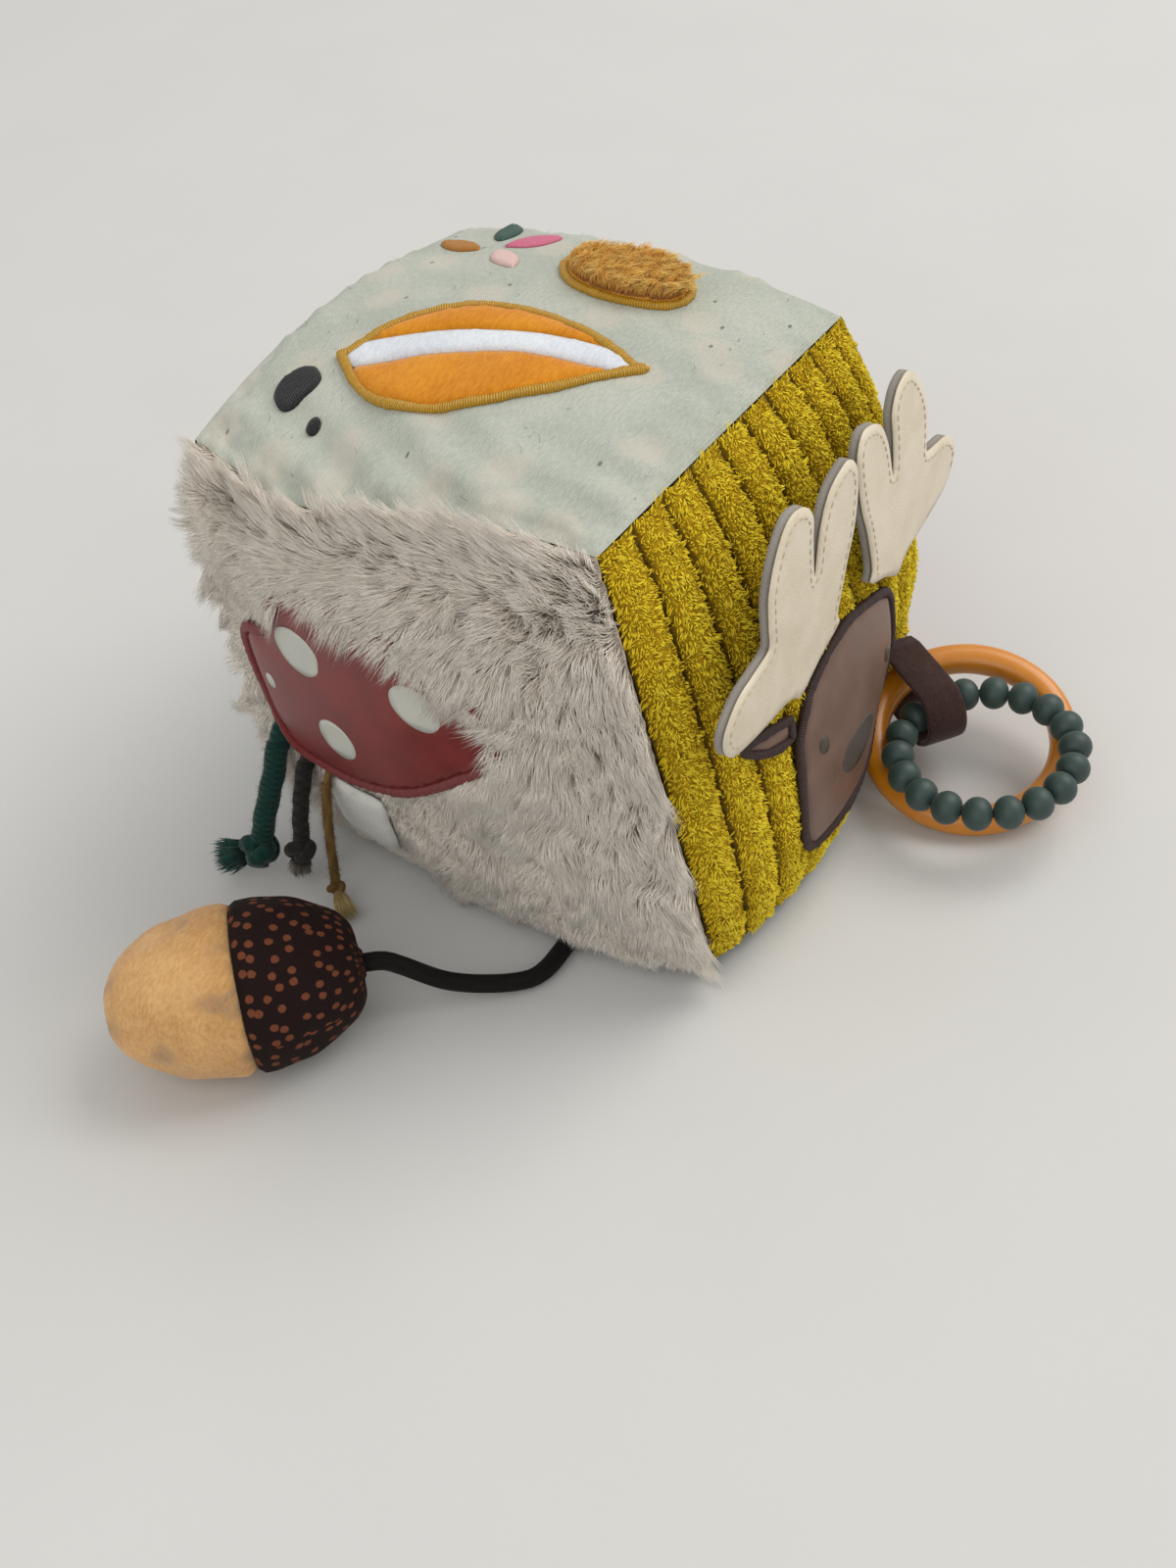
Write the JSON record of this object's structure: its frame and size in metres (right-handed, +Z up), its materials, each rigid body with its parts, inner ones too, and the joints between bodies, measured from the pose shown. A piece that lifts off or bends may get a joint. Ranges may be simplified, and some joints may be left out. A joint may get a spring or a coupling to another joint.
{
  "type": "soft activity block",
  "caption": "Stuffed fabric activity block with sewn pictures, folding antler flaps, knotted cords, two rings on a loop and a soft acorn on a cord.",
  "frame": {"origin": "middle of the flat patch that the block rests on", "axes": "+Z up, +X the ribbed plush side with the animal's head, -Y the long-pile side with the mushroom"},
  "size_m": [0.2432, 0.2777, 0.1667],
  "materials": {
    "filling": "soft fibre",
    "sage_jersey": "soft melange jersey",
    "cream_fur": "long soft pile",
    "mustard_plush": "ribbed plush",
    "red_velour": "velour",
    "green_velour": "velour",
    "orange_velour": "velour",
    "white_plush": "short plush",
    "gold_satin": "satin stitch",
    "ochre_fur": "fluffy pile",
    "black_satin": "satin stitch",
    "pink_satin": "satin stitch",
    "pale_pink_satin": "satin stitch",
    "brown_satin": "satin stitch",
    "leaf_green_satin": "satin stitch",
    "brown_leatherette": "smooth leatherette",
    "dark_brown_satin": "satin stitch",
    "cream_leatherette": "smooth leatherette",
    "grey_felt": "felt",
    "red_leatherette": "printed leatherette",
    "red_satin": "satin stitch",
    "white_cloth": "woven cloth",
    "green_cord": "soft cord",
    "black_cord": "soft cord",
    "grey_fray": "frayed yarn",
    "tan_cord": "waxed cord",
    "brown_webbing": "woven tape",
    "amber_silicone": "translucent smooth silicone",
    "teal_silicone": "matt silicone",
    "dark_cord": "soft cord",
    "beige_velour": "velour",
    "spotted_cloth": "woven cloth with small spots"
  },
  "bodies": {
    "block": {"stuffing_core": "filling", "top_panel": "sage_jersey", "front_panel": "cream_fur", "right_panel": "mustard_plush", "back_panel": "red_velour", "left_panel": "green_velour", "bottom_panel": "green_velour", "leaf_border": "gold_satin", "leaf_half_near": "orange_velour", "leaf_half_far": "orange_velour", "leaf_band": "white_plush", "fluffy_leaf": "ochre_fur", "fluffy_border": "gold_satin", "berry_oval": "black_satin", "berry_dot": "black_satin", "sprig_petal_brown": "brown_satin", "sprig_petal_pink": "pink_satin", "sprig_petal_pale": "pale_pink_satin", "sprig_leaf_green": "leaf_green_satin", "head_panel": "brown_leatherette", "head_border": "dark_brown_satin", "ear_left": "brown_leatherette", "ear_border": "dark_brown_satin", "mushroom_cap": "red_leatherette", "mushroom_border": "red_satin", "mushroom_stem": "white_cloth"},
    "antler_left": {"antler_left_skin": "cream_leatherette", "antler_left_felt": "grey_felt"},
    "antler_right": {"antler_right_skin": "cream_leatherette", "antler_right_felt": "grey_felt"},
    "green_tie": {"green_cord": "green_cord", "green_knot": "green_cord", "green_tassel": "green_cord"},
    "black_tie": {"black_cord": "black_cord", "black_knot": "black_cord", "black_tassel": "grey_fray"},
    "tan_tie": {"tan_cord": "tan_cord", "tan_knot": "tan_cord", "tan_tassel": "tan_cord"},
    "loop": {"ring_loop": "brown_webbing"},
    "amber_teether": {"amber_ring": "amber_silicone"},
    "bead_teether": {"bead_ring": "teal_silicone"},
    "acorn_string": {"acorn_cord": "dark_cord"},
    "acorn": {"acorn_cap": "spotted_cloth", "acorn_nut": "beige_velour"}
  },
  "joints": [
    {"name": "antler_left_fold", "type": "hinge", "parent": "block", "child": "antler_left", "pos_m": [0.08264, -0.0234, 0.08345], "axis": [-0.0175, 0.9998, 0], "range_deg": [0, 85]},
    {"name": "antler_right_fold", "type": "hinge", "parent": "block", "child": "antler_right", "pos_m": [0.08243, 0.019, 0.08345], "axis": [-0.0872, 0.9962, 0], "range_deg": [0, 85]},
    {"name": "green_tie_swing", "type": "hinge", "parent": "block", "child": "green_tie", "pos_m": [-0.07202, -0.09054, 0.04645], "axis": [-1, 0, 0], "range_deg": [0, 60]},
    {"name": "black_tie_swing", "type": "hinge", "parent": "block", "child": "black_tie", "pos_m": [-0.06187, -0.09045, 0.04238], "axis": [-1, 0, 0], "range_deg": [0, 60]},
    {"name": "tan_tie_swing", "type": "hinge", "parent": "block", "child": "tan_tie", "pos_m": [-0.0507, -0.09428, 0.04162], "axis": [-1, 0, 0], "range_deg": [0, 35]},
    {"name": "loop_lift", "type": "hinge", "parent": "block", "child": "loop", "pos_m": [0.06605, 0.06144, 0.03323], "axis": [-0.5878, -0.809, 0], "range_deg": [0, 12]},
    {"name": "amber_turn", "type": "hinge", "parent": "loop", "child": "amber_teether", "pos_m": [0.1023, 0.0458, 0.0146], "axis": [0.1533, -0.2773, 0.9485], "continuous": true},
    {"name": "bead_lift", "type": "hinge", "parent": "loop", "child": "bead_teether", "pos_m": [0.09048, 0.05027, 0.02246], "axis": [-0.5878, -0.809, 0], "range_deg": [0, 20]},
    {"name": "acorn_string_swing", "type": "hinge", "parent": "block", "child": "acorn_string", "pos_m": [0.02939, -0.08262, 0.0031], "axis": [0, 0, 1], "range_deg": [0, 30]},
    {"name": "acorn_swing", "type": "hinge", "parent": "acorn_string", "child": "acorn", "pos_m": [-0.00728, -0.13748, 0.0242], "axis": [0, 0, 1], "range_deg": [-3, 10]}
  ]
}
